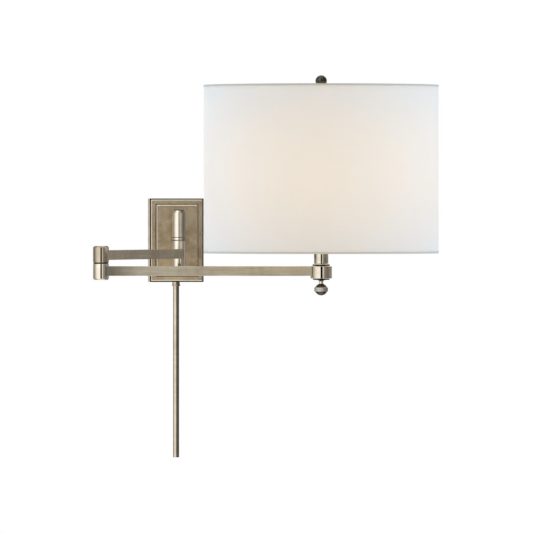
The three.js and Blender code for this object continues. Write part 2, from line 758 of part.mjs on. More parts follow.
// Everything above and below the second arm's outer end, turned square to the wall.
function lampHead() {
  const group = new THREE.Group();
  group.position.x = ARM.length;
  group.rotation.z = THREE.MathUtils.degToRad(-ARM_2_ANGLE);
  add(group, "head_hub", headHub(), nickel);
  add(group, "switch_body", switchBody(), blackPlastic);
  add(group, "lower_flange", lowerFlange(), nickel);
  add(group, "stem_flange", stemFlange(), nickel);
  add(group, "socket_stem", socketStem(), nickel);
  add(group, "socket_pipe", socketPipe(), steel);
  add(group, "harp_saddle", harpSaddle(), nickel);
  add(group, "socket_cup", socketCup(), nickel);
  add(group, "socket_shell", socketShell(), nickel);
  add(group, "socket_liner", socketLiner(), porcelain);
  add(group, "bulb_base", bulbBase(), brass);
  add(group, "bulb_glass", bulbGlass(), frosted);
  add(group, "harp_sleeve_left", harpSleeve(-1), nickel);
  add(group, "harp_sleeve_right", harpSleeve(1), nickel);
  add(group, "harp", harp(), nickel);
  add(group, "harp_stud", harpStud(), brass);
  add(group, "shade_spider", shadeSpider(), brass);
  add(group, "shade_top_ring", shadeRing(SHADE_TOP - RING.inset), brass);
  add(group, "shade_bottom_ring", shadeRing(SHADE.bottom + RING.inset), brass);
  add(group, "shade_drum", shadeDrum(), linen);
  add(group, "finial", finial(), darkNickel);
  add(group, "knob_ball", knobBall(), darkNickel);
  add(group, "knob_shaft", knobShaft(), steel);
  return group;
}

const lamp = new THREE.Group();
const { group: armOneGroup, elbow } = armOne();
const armTwoGroup = armTwo();
armTwoGroup.add(lampHead());
elbow.add(armTwoGroup);
lamp.add(wallMount(), armOneGroup);

export default lamp;
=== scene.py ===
"""A wall-mounted double swing-arm lamp: panelled backplate, cord-cover tube, two bars on round pivots, and a
linen drum shade on a harp over a screw-base bulb. Everything is in metres in the CAD model's frame: the wall
is the plane y = 0, +Y goes into it and +Z is up."""
import json
import math

import bmesh
import bpy
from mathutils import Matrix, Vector

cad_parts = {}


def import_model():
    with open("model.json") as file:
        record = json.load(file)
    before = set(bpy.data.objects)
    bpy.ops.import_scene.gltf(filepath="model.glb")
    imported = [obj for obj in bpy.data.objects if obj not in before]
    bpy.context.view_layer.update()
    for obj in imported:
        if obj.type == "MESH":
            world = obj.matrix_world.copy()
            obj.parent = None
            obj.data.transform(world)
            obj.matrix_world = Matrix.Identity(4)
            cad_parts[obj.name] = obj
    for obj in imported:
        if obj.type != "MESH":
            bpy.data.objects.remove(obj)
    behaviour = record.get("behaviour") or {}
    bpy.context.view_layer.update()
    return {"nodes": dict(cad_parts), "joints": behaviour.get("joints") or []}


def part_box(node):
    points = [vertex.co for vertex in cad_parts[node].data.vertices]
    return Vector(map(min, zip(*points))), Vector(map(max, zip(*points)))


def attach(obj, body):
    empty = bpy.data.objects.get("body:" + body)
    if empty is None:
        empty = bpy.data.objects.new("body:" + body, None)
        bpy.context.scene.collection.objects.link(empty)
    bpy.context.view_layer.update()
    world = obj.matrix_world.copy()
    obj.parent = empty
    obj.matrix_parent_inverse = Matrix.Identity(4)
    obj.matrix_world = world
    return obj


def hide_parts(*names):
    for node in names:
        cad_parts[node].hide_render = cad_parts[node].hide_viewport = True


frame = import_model()


# ---- The CAD model's sizes and places ------------------------------------------------------------------


def span(node):
    """Lowest and highest z of a CAD node."""
    low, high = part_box(node)
    return low.z, high.z


def half_width(node):
    """Half of a CAD node's size along X: the radius of a round one, to within its facets."""
    low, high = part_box(node)
    return (high.x - low.x) / 2


def axis_of(node):
    """Where a round, upright CAD node stands."""
    low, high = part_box(node)
    return ((low + high) / 2).xy


MM = 0.001

JOINTS = {joint["name"]: Vector(joint["pos_m"]) for joint in frame["joints"]}
POST_AXIS = JOINTS["shoulder"].xy
ELBOW_AXIS = JOINTS["elbow"].xy
HEAD_AXIS = JOINTS["switch_turn"].xy

POST_RADIUS = 8 * MM
ELBOW_RADIUS = 9.5 * MM
CAP_RADIUS = 6.35 * MM  # flush caps in the elbow's two ends
BAR_WIDTH = 15 * MM
EDGE = 0.35 * MM  # rounding of a crisp metal edge

SHADE_RADIUS = half_width("shade_drum")
HEM_HALF_HEIGHT = 1.35 * MM
SHEET_MARGIN = 1 * MM  # from a rim of the shade to the linen's cut edge, which lies inside the hem

SEGMENTS = 96  # around a turned piece


# ---- Mesh helpers --------------------------------------------------------------------------------------


def link(name, data):
    piece = bpy.data.objects.new(name, data)
    bpy.context.scene.collection.objects.link(piece)
    return piece


def mesh_piece(name, vertices, faces, smooth_angle=35, looks=None):
    """An object from vertices and faces, its normals outwards, smooth except at edges over the angle.
    looks gives each face's place in the piece's list of materials."""
    mesh = bpy.data.meshes.new(name)
    mesh.from_pydata([tuple(v) for v in vertices], [], faces)
    if looks:
        mesh.polygons.foreach_set("material_index", looks)
    work = bmesh.new()
    work.from_mesh(mesh)
    bmesh.ops.remove_doubles(work, verts=work.verts, dist=1e-7)
    bmesh.ops.recalc_face_normals(work, faces=work.faces)
    work.to_mesh(mesh)
    work.free()
    mesh.shade_smooth()
    mesh.set_sharp_from_angle(angle=math.radians(smooth_angle))
    piece = link(name, mesh)
    weighted = piece.modifiers.new("even_shading", "WEIGHTED_NORMAL")
    weighted.keep_sharp = True
    return piece


def quads(rows, columns, rows_close=False, columns_close=True):
    """Faces over a grid of vertices, row by row. Where rows or columns close, the last joins the first."""
    faces = []
    for row in range(rows if rows_close else rows - 1):
        following = (row + 1) % rows
        for column in range(columns if columns_close else columns - 1):
            beside = (column + 1) % columns
            faces.append((
                row * columns + column,
                row * columns + beside,
                following * columns + beside,
                following * columns + column,
            ))
    return faces


def softened(corners, steps=4):
    """The outline of (a, b) or (a, b, rounding) corners, each rounded one replaced by a short curve."""
    outline = []
    for i, corner in enumerate(corners):
        here = Vector(corner[:2])
        rounding = corner[2] if len(corner) > 2 else 0
        if not rounding or i in (0, len(corners) - 1):
            outline.append(here)
            continue
        before = Vector(corners[i - 1][:2]) - here
        after = Vector(corners[i + 1][:2]) - here
        start = here + before.normalized() * min(rounding, before.length * 0.49)
        end = here + after.normalized() * min(rounding, after.length * 0.49)
        for step in range(steps + 1):
            t = step / steps
            outline.append(start * (1 - t) ** 2 + here * 2 * t * (1 - t) + end * t**2)
    return outline


def arc(height, across, up, start, stop, steps):
    """Points on an elliptical arc about the axis, angles in degrees above the level."""
    points = []
    for step in range(steps + 1):
        angle = math.radians(start + (stop - start) * step / steps)
        points.append((across * math.cos(angle), height + up * math.sin(angle)))
    return points


def oval(middle, height, across, up, steps):
    """Points all the way round an ellipse, its centre at a radius and a height."""
    points = []
    for step in range(steps):
        angle = 2 * math.pi * step / steps
        points.append((middle + across * math.cos(angle), height + up * math.sin(angle)))
    return points


def rounded_rectangle(width, height, rounding, steps=4):
    """Points around a rectangle centred on the origin, in order, its corners rounded."""
    points = []
    for quarter in range(4):
        sign_x, sign_y = ((1, 1), (-1, 1), (-1, -1), (1, -1))[quarter]
        centre = Vector((sign_x * (width / 2 - rounding), sign_y * (height / 2 - rounding)))
        for step in range(steps + 1):
            angle = math.pi / 2 * (quarter + step / steps)
            points.append(centre + rounding * Vector((math.cos(angle), math.sin(angle))))
    return points


def turned(name, corners, axis, hollow=False, segments=SEGMENTS):
    """A piece turned about the vertical line through axis, from (radius, height, rounding) corners.
    A hollow one's outline closes on itself; otherwise it starts and ends on the axis."""
    if hollow:
        outline = softened([*corners, corners[0]])[:-1]
    else:
        outline = softened(corners)
    vertices = []
    for point in outline:
        for turn in range(segments):
            angle = 2 * math.pi * turn / segments
            vertices.append((point.x * math.cos(angle), point.x * math.sin(angle), point.y))
    piece = mesh_piece(name, vertices, quads(len(outline), segments, rows_close=hollow))
    piece.location = axis.to_3d()
    return piece


def plain_round(name, node, radius, axis, edge=EDGE):
    """A plain round piece as tall as a CAD node, its edges rounded."""
    bottom, top = span(node)
    return turned(name, [(0, bottom), (radius, bottom, edge), (radius, top, edge), (0, top)], axis)


def smooth_path(points, steps):
    """Points along a Catmull-Rom curve through the given points."""
    ends = [points[0] * 2 - points[1]] + list(points) + [points[-1] * 2 - points[-2]]
    path = []
    for i in range(1, len(ends) - 2):
        a, b, c, d = ends[i - 1 : i + 3]
        for step in range(steps):
            t = step / steps
            squared = 2 * a - 5 * b + 4 * c - d
            cubed = 3 * b - a - 3 * c + d
            path.append(0.5 * (2 * b + (c - a) * t + squared * t**2 + cubed * t**3))
    path.append(ends[-2])
    return path


def wire(name, points, radius, steps=10):
    """A round wire with closed ends along a smooth curve through the points."""
    path = smooth_path([Vector(point) for point in points], steps)
    curve = bpy.data.curves.new(name, "CURVE")
    curve.dimensions = "3D"
    curve.bevel_depth = radius
    curve.bevel_resolution = 4
    curve.use_fill_caps = True
    spline = curve.splines.new("POLY")
    spline.points.add(len(path) - 1)
    for target, source in zip(spline.points, path):
        target.co = (*source, 1)
    shaped = link(name + "_curve", curve)
    mesh = bpy.data.meshes.new_from_object(shaped.evaluated_get(bpy.context.evaluated_depsgraph_get()))
    bpy.data.objects.remove(shaped)
    mesh.name = name
    mesh.shade_smooth()
    mesh.set_sharp_from_angle(angle=math.radians(50))
    return link(name, mesh)


def merged(name, pieces):
    """One object holding the meshes of several pieces."""
    work = bmesh.new()
    for piece in pieces:
        piece.data.transform(piece.matrix_basis)
        work.from_mesh(piece.data)
        bpy.data.objects.remove(piece)
    mesh = bpy.data.meshes.new(name)
    work.to_mesh(mesh)
    work.free()
    return link(name, mesh)


# ---- Materials and bodies of a piece -------------------------------------------------------------------


def mark(piece, index, test):
    """Gives the faces whose centre passes the test another of the piece's materials."""
    for face in piece.data.polygons:
        if test(face.center):
            face.material_index = index


def darken_ends(piece, node):
    """Dark patina on the rounded edges of a plain round piece, where it meets its neighbours."""
    bottom, top = span(node)
    mark(piece, 1, lambda centre: not bottom + EDGE < centre.z < top - EDGE)


def settle(piece, body, slot, looks, *nodes):
    """Gives a piece its materials and its body, and hides the CAD nodes that it stands for. slot is not
    used.
    """
    for look in looks.split():
        piece.data.materials.append(MATERIALS[look])
    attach(piece, body)
    if nodes:
        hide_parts(*nodes)


def dress(look, *nodes):
    """Gives kept CAD nodes a material."""
    for node in nodes:
        for material_slot in frame["nodes"][node].material_slots:
            material_slot.material = MATERIALS[look]


# ---- Shader helpers ------------------------------------------------------------------------------------


class Nodes:
    """A node tree, built a node at a time."""

    def __init__(self, tree):
        self.tree = tree

    def node(self, kind, settings=None, **inputs):
        """A node with its settings, and its inputs, by name or as _number, set to values or linked."""
        made = self.tree.nodes.new("ShaderNode" + kind)
        for key, value in (settings or {}).items():
            setattr(made, key, value)
        for key, value in inputs.items():
            self.give(made.inputs[int(key[1:]) if key[1:].isdigit() else key], value)
        return made

    def give(self, socket, value):
        if isinstance(value, bpy.types.NodeSocket):
            self.tree.links.new(value, socket)
        else:
            socket.default_value = value

    def math(self, operation, first, second=0.0):
        return self.node("Math", {"operation": operation}, _0=first, _1=second).outputs[0]

    def between(self, value, low, high, low_to=0.0, high_to=1.0):
        """Maps value from low..high to low_to..high_to, clamped."""
        return self.node("MapRange", _0=value, _1=low, _2=high, _3=low_to, _4=high_to).outputs[0]

    def blend(self, share, first, second):
        """Colour between first and second."""
        return self.node("Mix", {"data_type": "RGBA"}, _0=share, _6=first, _7=second).outputs[2]


class Shader(Nodes):
    """A new material and its node tree."""

    def __init__(self, name):
        self.material = bpy.data.materials.new(name)
        self.material.use_nodes = True
        super().__init__(self.material.node_tree)
        self.surface = self.tree.nodes["Principled BSDF"]

    def set(self, **values):
        """Sets inputs of the principled shader; an underscore stands for a space."""
        for key, value in values.items():
            self.give(self.surface.inputs[key.replace("_", " ")], value)

    def place(self):
        return self.node("TexCoord").outputs["Object"]

    def noise(self, vector, scale, detail=3.0, stretch=(1, 1, 1), seed=0.0, rough=0.5):
        """Grey noise, its pattern stretched by the inverse of stretch."""
        mapped = self.node("Mapping", Vector=vector, Scale=stretch, Location=(seed, seed * 0.7, seed * 1.3))
        made = self.node("TexNoise", Vector=mapped.outputs[0], Scale=scale, Detail=detail, Roughness=rough)
        return made.outputs[0]

    def bump(self, height, distance, strength=1.0):
        return self.node("Bump", Height=height, Distance=distance, Strength=strength).outputs[0]


def scaled(tone, factor):
    """A colour with each channel multiplied by factor."""
    return (*(min(1.0, channel * factor) for channel in tone), 1)


# ---- Materials -----------------------------------------------------------------------------------------

NICKEL_TONE = (0.52, 0.465, 0.37)
NICKEL_PATINA = (0.66, 0.60, 0.52)  # share of the light that patina leaves in each colour


def nickel(name, grain, roughness, seed, mottling, relief=0.35, streaks=0.1, tone=NICKEL_TONE, painted_shade=None):
    """Antique nickel: warm grey metal with brown patina in soft clouds and fine polishing lines.
    grain is the lines' scale along each axis, large across them. relief is the depth of their bump.
    The last argument is painted shade: a direction, where along it the shade starts, where it is darkest,
    and how dark."""
    shader = Shader(name)
    place = shader.place()
    clouds = shader.noise(place, 95, 5, seed=seed, rough=0.62)
    wide_clouds = shader.noise(place, 24, 2, seed=seed + 4)
    lines = shader.noise(place, 1.0, 4, stretch=grain, seed=seed, rough=0.7)
    specks = shader.noise(place, 900, 2, seed=seed + 2)
    patches = shader.math("MULTIPLY", clouds, shader.between(wide_clouds, 0.3, 0.7, 0.7, 1.25))
    share = shader.between(patches, 0.34, 0.68, 0.0, mottling)
    patina = (*(channel * left for channel, left in zip(tone, NICKEL_PATINA)), 1)
    cloudy = shader.blend(share, (*tone, 1), patina)
    line_shade = shader.between(lines, 0.3, 0.7, 1 - streaks, 1 + streaks * 0.6)
    speck_shade = shader.between(specks, 0.22, 0.36, 0.86, 1.0)
    shade = shader.math("MULTIPLY", line_shade, speck_shade)
    # Painted shade: the metal darkens along one direction.
    if painted_shade:
        direction, start, end, darkest = painted_shade
        along = shader.node("VectorMath", {"operation": "DOT_PRODUCT"}, _0=place, _1=direction).outputs[1]
        shade = shader.math("MULTIPLY", shade, shader.between(along, start, end, 1.0, darkest))
    colour = shader.node("VectorMath", {"operation": "SCALE"}, _0=cloudy, _3=shade)
    scratch = roughness * 0.25
    rough = shader.math("ADD", shader.between(lines, 0.25, 0.75, -scratch, scratch), roughness)
    rough = shader.math("ADD", rough, shader.between(clouds, 0.3, 0.75, 0.0, scratch))
    height = shader.math("ADD", lines, shader.math("MULTIPLY", clouds, 0.6))
    shader.set(
        Base_Color=colour.outputs[0],
        Metallic=1.0,
        Roughness=rough,
        Normal=shader.bump(height, 0.00002, relief),
    )
    return shader.material


def plain_metal(name, tone, roughness, seed):
    """Zinc-plated steel or brass with faint clouding and fine scratches."""
    shader = Shader(name)
    place = shader.place()
    clouds = shader.noise(place, 140, 4, seed=seed)
    scratches = shader.noise(place, 60, 5, stretch=(1, 1, 14), seed=seed + 1, rough=0.75)
    colour = shader.blend(shader.between(clouds, 0.35, 0.7), scaled(tone, 1), scaled(tone, 0.72))
    rough = shader.between(scratches, 0.3, 0.7, roughness - 0.06, roughness + 0.1)
    shader.set(
        Base_Color=colour,
        Metallic=1.0,
        Roughness=rough,
        Normal=shader.bump(scratches, 0.00003, 0.3),
    )
    return shader.material


def linen(name, pale, sheer=0.30):
    """Linen of crossed threads with slubs. sheer is how much of the bulb's light one layer lets through."""
    shader = Shader(name)
    place = shader.place()
    x, y, z = shader.node("SeparateXYZ", _0=place).outputs
    around = shader.math("MULTIPLY", shader.math("ARCTAN2", y, x), SHADE_RADIUS)
    flat = shader.node("CombineXYZ", _0=around, _1=z).outputs[0]
    warp_slubs = shader.noise(flat, 1.0, 3, stretch=(1500, 34, 1), seed=5, rough=0.6)
    weft_slubs = shader.noise(flat, 1.0, 3, stretch=(30, 1600, 1), seed=9, rough=0.6)
    slubs = shader.math("MAXIMUM", warp_slubs, weft_slubs)
    thread_pitch = 0.62 * MM
    warp = shader.math("SINE", shader.math("MULTIPLY", around, 2 * math.pi / thread_pitch))
    weft = shader.math("SINE", shader.math("MULTIPLY", z, 2 * math.pi / thread_pitch))
    weave = shader.math("MULTIPLY", warp, weft)
    weave_height = shader.math("ADD", shader.math("MULTIPLY", weave, 0.25), slubs)
    tint = shader.between(slubs, 0.42, 0.78)
    wide = shader.noise(place, 14, 3, seed=2)
    cloudy = shader.blend(shader.between(wide, 0.3, 0.7), scaled(pale, 0.985), scaled(pale, 1.0))
    colour = shader.blend(shader.math("MULTIPLY", tint, 0.55), cloudy, scaled(pale, 0.93))
    normal = shader.bump(weave_height, 0.00018, 0.5)
    shader.set(
        Base_Color=colour,
        Roughness=0.92,
        Normal=normal,
        Sheen_Weight=0.08,
        Sheen_Roughness=0.5,
        Specular_IOR_Level=0.12,
    )
    if sheer:
        through = shader.node("BsdfTranslucent", Color=(0.95, 0.87, 0.74, 1), Normal=normal)
        mix = shader.node("MixShader", Fac=sheer, _1=shader.surface.outputs[0], _2=through.outputs[0])
        output = shader.tree.nodes["Material Output"]
        shader.tree.links.new(mix.outputs[0], output.inputs["Surface"])
    return shader.material


def bulb_glass_look():
    """White frosted glass with a soft warm glow of its own."""
    shader = Shader("lit_frosted_glass")
    place = shader.place()
    frost = shader.noise(place, 260, 3, seed=1)
    shade = shader.blend(shader.between(frost, 0.3, 0.7), (0.80, 0.76, 0.66, 1), (0.86, 0.82, 0.73, 1))
    shader.set(
        Base_Color=shade,
        Roughness=shader.between(frost, 0.3, 0.7, 0.42, 0.55),
        Emission_Color=(1.0, 0.80, 0.46, 1),
        Emission_Strength=0.5,
    )
    return shader.material


def glazed(name, tone, roughness, seed):
    """Glazed ceramic or moulded plastic with a slightly uneven surface."""
    shader = Shader(name)
    place = shader.place()
    waves = shader.noise(place, 180, 3, seed=seed)
    shader.set(
        Base_Color=shader.blend(waves, scaled(tone, 1), scaled(tone, 1.2)),
        Roughness=shader.between(waves, 0.3, 0.7, roughness - 0.05, roughness + 0.08),
        Normal=shader.bump(waves, 0.00005, 0.25),
    )
    return shader.material


# Grains: the scale of the polishing lines along each axis, large across them and small along them
ALL_WAYS = (300, 300, 300)
ROUND = (30, 30, 1500)
ALONG_BAR = (16, 900, 900)
UPRIGHT = (220, 220, 22)

# Directions along which painted shade darkens a look, in the piece's own frame
ALONG_X = (1, 0, 0)
TO_UPPER_RIGHT = (0.85, 0, 0.5)

# The nickel looks

BAR = {"grain": ALONG_BAR, "roughness": 0.38, "seed": 11.0, "mottling": 0.5, "streaks": 0.3}
# Arm 2's bar: a lighter copy of the bar as painted light, with painted shade darkening it towards the elbow.
BAR_PAINTED_LIGHT_AND_SHADE = BAR | {"tone": (0.60, 0.545, 0.43), "painted_shade": (ALONG_X, 0.045, 0.014, 0.42)}

POLISHED = {"grain": ROUND, "relief": 0.05}
BRIGHT = POLISHED | {
    "roughness": 0.04,
    "seed": 19.0,
    "mottling": 0.35,
    "streaks": 0.06,
    "tone": (0.68, 0.635, 0.545),
}
# The post: painted shade darkens its right half.
POST = BRIGHT | {"painted_shade": (ALONG_X, 0.0, 0.002, 0.6)}
# Head hub and stem: the turned nickel a little rougher, its tone darker as painted shade to dim their
# reflections.
SHADED_SOFT = POLISHED | {
    "roughness": 0.05,
    "seed": 21.0,
    "mottling": 0.6,
    "streaks": 0.07,
    "tone": (0.59, 0.55, 0.465),
}
# Upper elbow hub: the turned nickel rougher, its tone darker as painted shade to dim its reflections.
SHADED_DULL = POLISHED | {
    "roughness": 0.08,
    "seed": 23.0,
    "mottling": 0.8,
    "streaks": 0.08,
    "tone": (0.46, 0.405, 0.32),
}
# The cord tube: painted shade darkens its right side.
TUBE = POLISHED | {
    "roughness": 0.04,
    "seed": 25.0,
    "mottling": 0.6,
    "streaks": 0.06,
    "tone": (0.56, 0.50, 0.40),
    "painted_shade": (ALONG_X, -0.0008, 0.0012, 0.36),
}
DARK = {
    "grain": ROUND,
    "roughness": 0.09,
    "seed": 27.0,
    "mottling": 0.6,
    "relief": 0.06,
    "streaks": 0.1,
    "tone": (0.085, 0.076, 0.064),
}

# The backplate: painted shade darkens it towards its upper right.
PLATE = {
    "grain": UPRIGHT,
    "roughness": 0.30,
    "seed": 3.0,
    "mottling": 0.9,
    "tone": (0.73, 0.60, 0.42),
    "painted_shade": (TO_UPPER_RIGHT, -0.03, 0.03, 0.60),
}
# Paler worn edges, also standing in for the bevels' highlights: painted highlight.
WORN_AND_HIGHLIGHT = {"grain": ALL_WAYS, "roughness": 0.22, "seed": 5.0, "mottling": 0.2, "tone": (0.72, 0.66, 0.55)}
# Near-black nickel: patina in grooves and joints, dark flanges, and painted shade on the backplate's outer
# corner.
BLACK = {"grain": ALL_WAYS, "roughness": 0.45, "seed": 7.0, "mottling": 0.4, "tone": (0.018, 0.016, 0.014)}

MATERIALS = {
    "plate": nickel("nickel_plate", **PLATE),
    "edge": nickel("nickel_worn_edge_and_highlight", **WORN_AND_HIGHLIGHT),
    "groove": nickel("nickel_groove", **BLACK),
    "bar": nickel("nickel_bar", **BAR),
    "bar_painted_light_and_shade": nickel("nickel_bar_painted_light_and_shade", **BAR_PAINTED_LIGHT_AND_SHADE),
    "turned": nickel("nickel_turned", **BRIGHT),
    "turned_shaded_dull": nickel("nickel_turned_shaded_dull", **SHADED_DULL),
    "turned_shaded_soft": nickel("nickel_turned_shaded_soft", **SHADED_SOFT),
    "post": nickel("nickel_post", **POST),
    "tube": nickel("nickel_tube", **TUBE),
    "dark": nickel("nickel_dark", **DARK),
    "steel": plain_metal("zinc_steel", tone=(0.62, 0.63, 0.64), roughness=0.32, seed=6.0),
    "belt": plain_metal("worn_belt", tone=(0.50, 0.49, 0.46), roughness=0.34, seed=9.0),
    "brass": plain_metal("aged_brass", tone=(0.70, 0.56, 0.30), roughness=0.30, seed=14.0),
    "linen": linen("white_linen", (0.918, 0.911, 0.894)),
    # The hems: the linen painted darker and warmer, as painted shade in the rolled edge, and passing no
    # light.
    "hem": linen("linen_hem_painted_shade", (0.78, 0.70, 0.56), sheer=0.0),
    # The lapped seam: the linen tinted warm, a painted glow standing in for the bulb light its second layer
    # holds back.
    "lap": linen("linen_lap_painted_glow", (0.92, 0.85, 0.76), sheer=0.28),
    "porcelain": glazed("white_porcelain", tone=(0.80, 0.79, 0.75), roughness=0.22, seed=8.0),
    "plastic": glazed("black_plastic", tone=(0.022, 0.022, 0.024), roughness=0.42, seed=12.0),
    "glass": bulb_glass_look(),
}


# ---- Wall mount ----------------------------------------------------------------------------------------


def backplate():
    """The cover: rectangular rings from its inside, out round the rim, and over the face to the panel."""
    low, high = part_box("backplate_cover")
    width, height = high.x - low.x, high.z - low.z
    shell = 1.6 * MM
    panel = -low.y
    face = panel - 3 * MM
    border = 7.7 * MM
    plain, edge, groove = 0, 1, 2
    rings = [  # (inset from the outline, distance from the wall, look of the band that follows)
        (shell, face - shell, plain),
        (shell, 0.05 * MM, plain),
        (0, 0.05 * MM, plain),
        # Dark bands round the outer front corner: painted shade.
        (0, face - 1.2 * MM, groove),
        (0.5 * MM, face - 1.1 * MM, groove),
        # Bright bands on the bevels here and round the panel: worn edges and painted highlight.
        (1.5 * MM, face - 0.8 * MM, edge),
        (2.3 * MM, face, plain),
        (border - 1 * MM, face, groove),
        (border - 0.7 * MM, face - 0.7 * MM, groove),
        (border - 0.1 * MM, face - 0.7 * MM, groove),
        (border, panel - 1.1 * MM, edge),
        (border + 0.95 * MM, panel, plain),
    ]
    vertices, looks = [], []
    for inset, distance, look in rings:
        outline = rounded_rectangle(width - 2 * inset, height - 2 * inset, 0.5 * MM)
        for point in outline:
            vertices.append((point.x, -distance, point.y))
            looks.append(look)
    around = len(outline)
    middle = tuple(range(len(vertices) - around, len(vertices)))
    faces = [*quads(len(rings), around), middle]
    cover = mesh_piece("backplate", vertices, faces, smooth_angle=25, looks=looks[: len(faces)])
    settle(cover, "wall_mount", "nickel", "plate edge groove", "backplate_cover")


def post():
    """The post, with a chamfer and a dark line round its flat top, and the friction ring under it."""
    bottom, top = span("shoulder_post")
    radius = POST_RADIUS
    crown = top - 0.7 * MM
    corners = [
        (0, bottom),
        (radius, bottom, EDGE),
        (radius, top - 3.8 * MM, 0.5 * MM),
        (radius - 1.6 * MM, crown, 0.1 * MM),
        (radius - 1.8 * MM, top, 0.2 * MM),
        (0, top),
    ]
    column = turned("post", corners, POST_AXIS)
    mark(column, 1, lambda centre: crown < centre.z < top - 0.01 * MM)
    settle(column, "wall_mount", "nickel", "post groove", "shoulder_post")
    ring = plain_round("post_ring", "shoulder_ring", radius, POST_AXIS)
    darken_ends(ring, "shoulder_ring")
    settle(ring, "wall_mount", "nickel", "post groove", "shoulder_ring")


def cord_tube():
    """The tube that covers the cord under the plate."""
    bottom, top = span("cord_cover_tube")
    outer = half_width("cord_cover_tube")
    bore = outer - 0.73 * MM
    corners = [(bore, bottom), (outer, bottom, 0.15 * MM), (outer, top), (bore, top)]
    tube = turned("cord_tube", corners, axis_of("cord_cover_tube"), hollow=True)
    settle(tube, "wall_mount", "nickel", "tube", "cord_cover_tube")


def cord_collar():
    """The collar round the top of the tube, with a rolled bead at its foot."""
    bottom, top = span("cord_collar")
    bore = half_width("cord_cover_tube") + 0.05 * MM
    radius = half_width("cord_collar")
    neck = radius - 0.45 * MM
    corners = [
        (bore, bottom),
        (radius - 0.5 * MM, bottom, 0.3 * MM),
        (radius, bottom + 0.5 * MM, 0.3 * MM),
        (radius, bottom + 1.3 * MM, 0.3 * MM),
        (neck, bottom + 1.7 * MM, 0.2 * MM),
        (neck, top),
        (bore, top),
    ]
    collar = turned("cord_tube_collar", corners, axis_of("cord_cover_tube"), hollow=True)
    settle(collar, "wall_mount", "nickel", "tube", "cord_collar")


# ---- Arms ----------------------------------------------------------------------------------------------


def shoulder():
    """The hub that turns under the post, and its chamfered bottom cap."""
    hub = plain_round("shoulder", "shoulder_hub", POST_RADIUS, POST_AXIS)
    darken_ends(hub, "shoulder_hub")
    settle(hub, "arm_1", "nickel", "turned groove", "shoulder_hub")
    bottom, top = span("shoulder_bottom_cap")
    chamfer = 1.2 * MM
    corners = [
        (0, bottom),
        (POST_RADIUS - chamfer, bottom, 0.4 * MM),
        (POST_RADIUS, bottom + chamfer, 0.4 * MM),
        (POST_RADIUS, top, 0.2 * MM),
        (0, top),
    ]
    cap = turned("shoulder_cap", corners, POST_AXIS)
    settle(cap, "arm_1", "nickel", "turned", "shoulder_bottom_cap")


def arm_bar(body, node, look, start, end):
    """A box-section bar between two hubs, each given as its axis and radius. The bar's ends are hollowed to
    meet the hubs, and dark where they do."""
    start_axis, start_radius = start
    end_axis, end_radius = end
    along = end_axis - start_axis
    low, high = span(node)
    outline = rounded_rectangle(BAR_WIDTH, high - low, 0.7 * MM)
    dark_share = 0.8 * MM / along.length
    sections = 24
    shares = [0, dark_share, *(step / sections for step in range(1, sections)), 1 - dark_share, 1]
    vertices, looks = [], []
    for share in shares:
        dark = share in (0, 1 - dark_share)
        for point in outline:
            near = math.sqrt(start_radius**2 - point.x**2)
            far = along.length - math.sqrt(end_radius**2 - point.x**2)
            vertices.append((near + (far - near) * share, point.x, point.y))
            looks.append(1 if dark else 0)
    faces = quads(len(shares), len(outline))
    piece = mesh_piece(node + "_shape", vertices, faces, looks=looks[: len(faces)])
    piece.location = (start_axis.x, start_axis.y, (high + low) / 2)
    piece.rotation_euler.z = math.atan2(along.y, along.x)
    settle(piece, body, "nickel", look + " groove", node)


def elbow_hub(name, outer_end, seam_end):
    """Half of the elbow: a wide chamfer and a recess for the cap at its outer end, a narrow chamfer at its
    seam end."""
    up = 1 if outer_end > seam_end else -1
    radius = ELBOW_RADIUS
    seam_chamfer = 0.6 * MM
    recess = CAP_RADIUS + 0.3 * MM
    recess_floor = outer_end - up * 0.8 * MM
    corners = [
        (0, seam_end),
        (radius - seam_chamfer, seam_end, 0.1 * MM),
        (radius, seam_end + up * seam_chamfer, 0.1 * MM),
        (radius, outer_end - up * 1.6 * MM, 0.5 * MM),
        (radius - 1.5 * MM, outer_end, 0.4 * MM),
        (recess, outer_end, 0.1 * MM),
        (recess, recess_floor),
        (0, recess_floor),
    ]
    return turned(name, corners, ELBOW_AXIS)


def elbow_cap(name, body, node):
    cap = plain_round(name, node, CAP_RADIUS, ELBOW_AXIS, 0.25 * MM)
    settle(cap, body, "nickel", "turned", node)


def elbow_washer():
    """The dark line between the two halves of the elbow, thick enough to fill it."""
    bore, radius = 3.3 * MM, half_width("elbow_washer")
    middle = sum(span("elbow_washer")) / 2
    bottom, top = middle - 0.56 * MM, middle + 0.56 * MM
    corners = [(bore, bottom), (radius, bottom), (radius, top), (bore, top)]
    washer = turned("elbow_washer_shape", corners, ELBOW_AXIS, hollow=True)
    settle(washer, "arm_2", "brass", "groove", "elbow_washer")


def arm_one():
    shoulder()
    arm_bar("arm_1", "arm_1_bar", "bar", (POST_AXIS, POST_RADIUS), (ELBOW_AXIS, ELBOW_RADIUS))
    low, high = span("elbow_upper_hub")
    upper = elbow_hub("elbow_upper", outer_end=high, seam_end=low)
    settle(upper, "arm_1", "nickel", "turned_shaded_dull", "elbow_upper_hub")
    elbow_cap("elbow_cap_top", "arm_1", "elbow_top_cap")


def arm_two():
    low, high = span("elbow_lower_hub")
    lower = elbow_hub("elbow_lower", outer_end=low, seam_end=high)
    settle(lower, "arm_2", "nickel", "turned", "elbow_lower_hub")
    elbow_cap("elbow_cap_bottom", "arm_2", "elbow_bottom_cap")
    head_end = (HEAD_AXIS, half_width("head_hub"))
    # Arm 2's bar takes the lighter look, with painted shade towards the elbow.
    arm_bar("arm_2", "arm_2_bar", "bar_painted_light_and_shade", (ELBOW_AXIS, ELBOW_RADIUS), head_end)
    elbow_washer()


